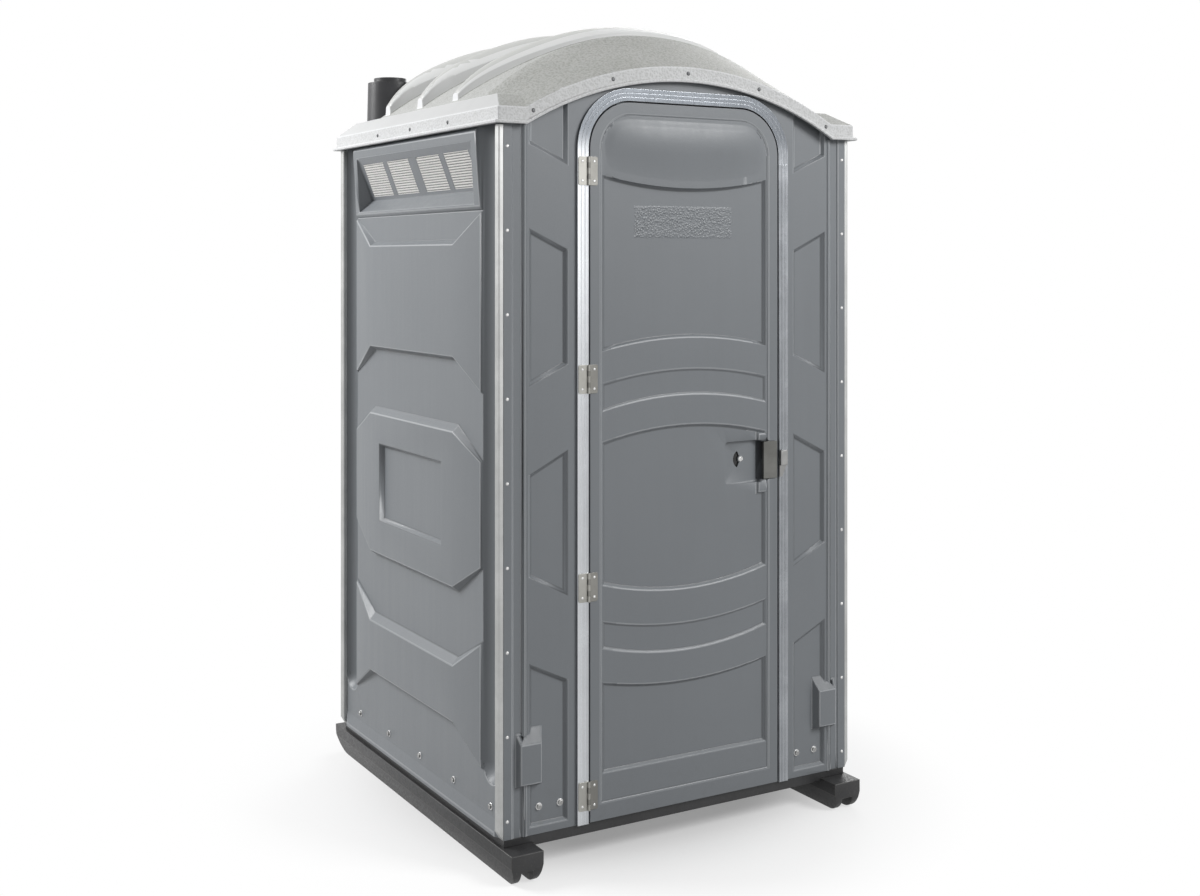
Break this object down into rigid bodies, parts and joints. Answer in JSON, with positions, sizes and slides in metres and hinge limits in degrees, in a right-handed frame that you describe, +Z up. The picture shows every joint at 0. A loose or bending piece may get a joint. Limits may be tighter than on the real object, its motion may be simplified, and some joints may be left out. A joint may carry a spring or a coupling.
{
  "type": "portable toilet cabin",
  "caption": "Free-standing portable toilet cabin on skids, with a hinged latching door, louvred walls, an arched ribbed roof, a vent stack, a seat over a waste tank and a urinal.",
  "frame": {"origin": "on the ground, under the middle of the cabin", "axes": "+Z up, the door side faces -Y, +X to the right of someone facing the door"},
  "size_m": [1.184, 1.26, 2.2839],
  "materials": {
    "grey_polyethylene": "fine orange-peel, satin",
    "translucent_roof": "mottled translucent off-white, satin",
    "black_polyethylene": "scuffed, matt",
    "frame_aluminium": "brushed along its length",
    "trim_aluminium": "mill finish",
    "stainless": "brushed",
    "zinc_steel": "zinc plated",
    "screen_white": "satin",
    "pipe_black": "satin",
    "tank_grey": "satin",
    "seat_white": "glossy",
    "dial_black": "glossy, with a pale mark",
    "paper": "soft paper"
  },
  "bodies": {
    "cabin": {"skid_left": "black_polyethylene", "skid_right": "black_polyethylene", "floor_pan": "black_polyethylene", "side_wall_left": "grey_polyethylene", "side_wall_right": "grey_polyethylene", "front_wall": "grey_polyethylene", "rear_wall": "grey_polyethylene", "vent_screens_left": "screen_white", "vent_screens_right": "screen_white", "corner_trim_front_right": "trim_aluminium", "corner_trim_front_left": "trim_aluminium", "corner_trim_rear_right": "trim_aluminium", "corner_trim_rear_left": "trim_aluminium", "trim_rivets": "zinc_steel", "wall_bolts": "zinc_steel", "wall_washers": "zinc_steel", "skid_bolts": "zinc_steel", "roof_screws": "zinc_steel", "hinge_frame_rivets": "zinc_steel", "roof_shell": "translucent_roof", "vent_stack": "pipe_black", "vent_boot": "pipe_black", "urinal_drain": "pipe_black", "door_jamb_left": "frame_aluminium", "door_jamb_right": "frame_aluminium", "door_header": "frame_aluminium", "hinge_frame_leaf_1": "stainless", "hinge_pin_1": "stainless", "hinge_frame_leaf_2": "stainless", "hinge_pin_2": "stainless", "hinge_frame_leaf_3": "stainless", "hinge_pin_3": "stainless", "hinge_frame_leaf_4": "stainless", "hinge_pin_4": "stainless", "latch_keeper": "stainless", "seat_hinge_pin": "stainless", "paper_holder": "stainless", "waste_tank": "tank_grey", "urinal": "tank_grey", "paper_rod": "tank_grey"},
    "door": {"door_outer_skin": "grey_polyethylene", "door_inner_skin": "grey_polyethylene", "hinge_door_rivets": "zinc_steel", "pull_plate": "stainless", "latch_case": "black_polyethylene", "hinge_door_leaf_1": "stainless", "hinge_door_leaf_2": "stainless", "hinge_door_leaf_3": "stainless", "hinge_door_leaf_4": "stainless"},
    "latch_turn": {"latch_lever": "black_polyethylene", "latch_spindle": "stainless", "indicator_dial": "dial_black"},
    "latch_slide": {"latch_bolt": "stainless"},
    "seat_ring": {"seat_ring": "seat_white"},
    "seat_lid": {"seat_lid": "seat_white"},
    "paper_front": {"paper_roll_front": "paper"},
    "paper_rear": {"paper_roll_rear": "paper"}
  },
  "joints": [
    {"name": "door_swing", "type": "hinge", "parent": "cabin", "child": "door", "pos_m": [-0.314, -0.5822, 1], "axis": [0, 0, -1], "range_deg": [0, 105]},
    {"name": "latch_lever_turn", "type": "hinge", "parent": "door", "child": "latch_turn", "pos_m": [0.194, -0.55, 1.029], "axis": [0, 1, 0], "range_deg": [0, 90]},
    {"name": "latch_bolt_slide", "type": "slide", "parent": "door", "child": "latch_slide", "axis": [1, 0, 0], "range_m": [0, 0.022]},
    {"name": "seat_ring_swing", "type": "hinge", "parent": "cabin", "child": "seat_ring", "pos_m": [0, 0.497, 0.5563], "axis": [-1, 0, 0], "range_deg": [0, 95]},
    {"name": "seat_lid_swing", "type": "hinge", "parent": "cabin", "child": "seat_lid", "pos_m": [0, 0.497, 0.5563], "axis": [-1, 0, 0], "range_deg": [-97, 0]},
    {"name": "paper_front_turn", "type": "hinge", "parent": "cabin", "child": "paper_front", "pos_m": [-0.494, -0.127, 0.6], "axis": [0, 1, 0], "continuous": true},
    {"name": "paper_rear_turn", "type": "hinge", "parent": "cabin", "child": "paper_rear", "pos_m": [-0.494, -0.023, 0.6], "axis": [0, 1, 0], "continuous": true}
  ],
  "couplings": [
    {"joint": "latch_bolt_slide", "follows": "latch_lever_turn", "m_per_rad": 0.014006}
  ]
}
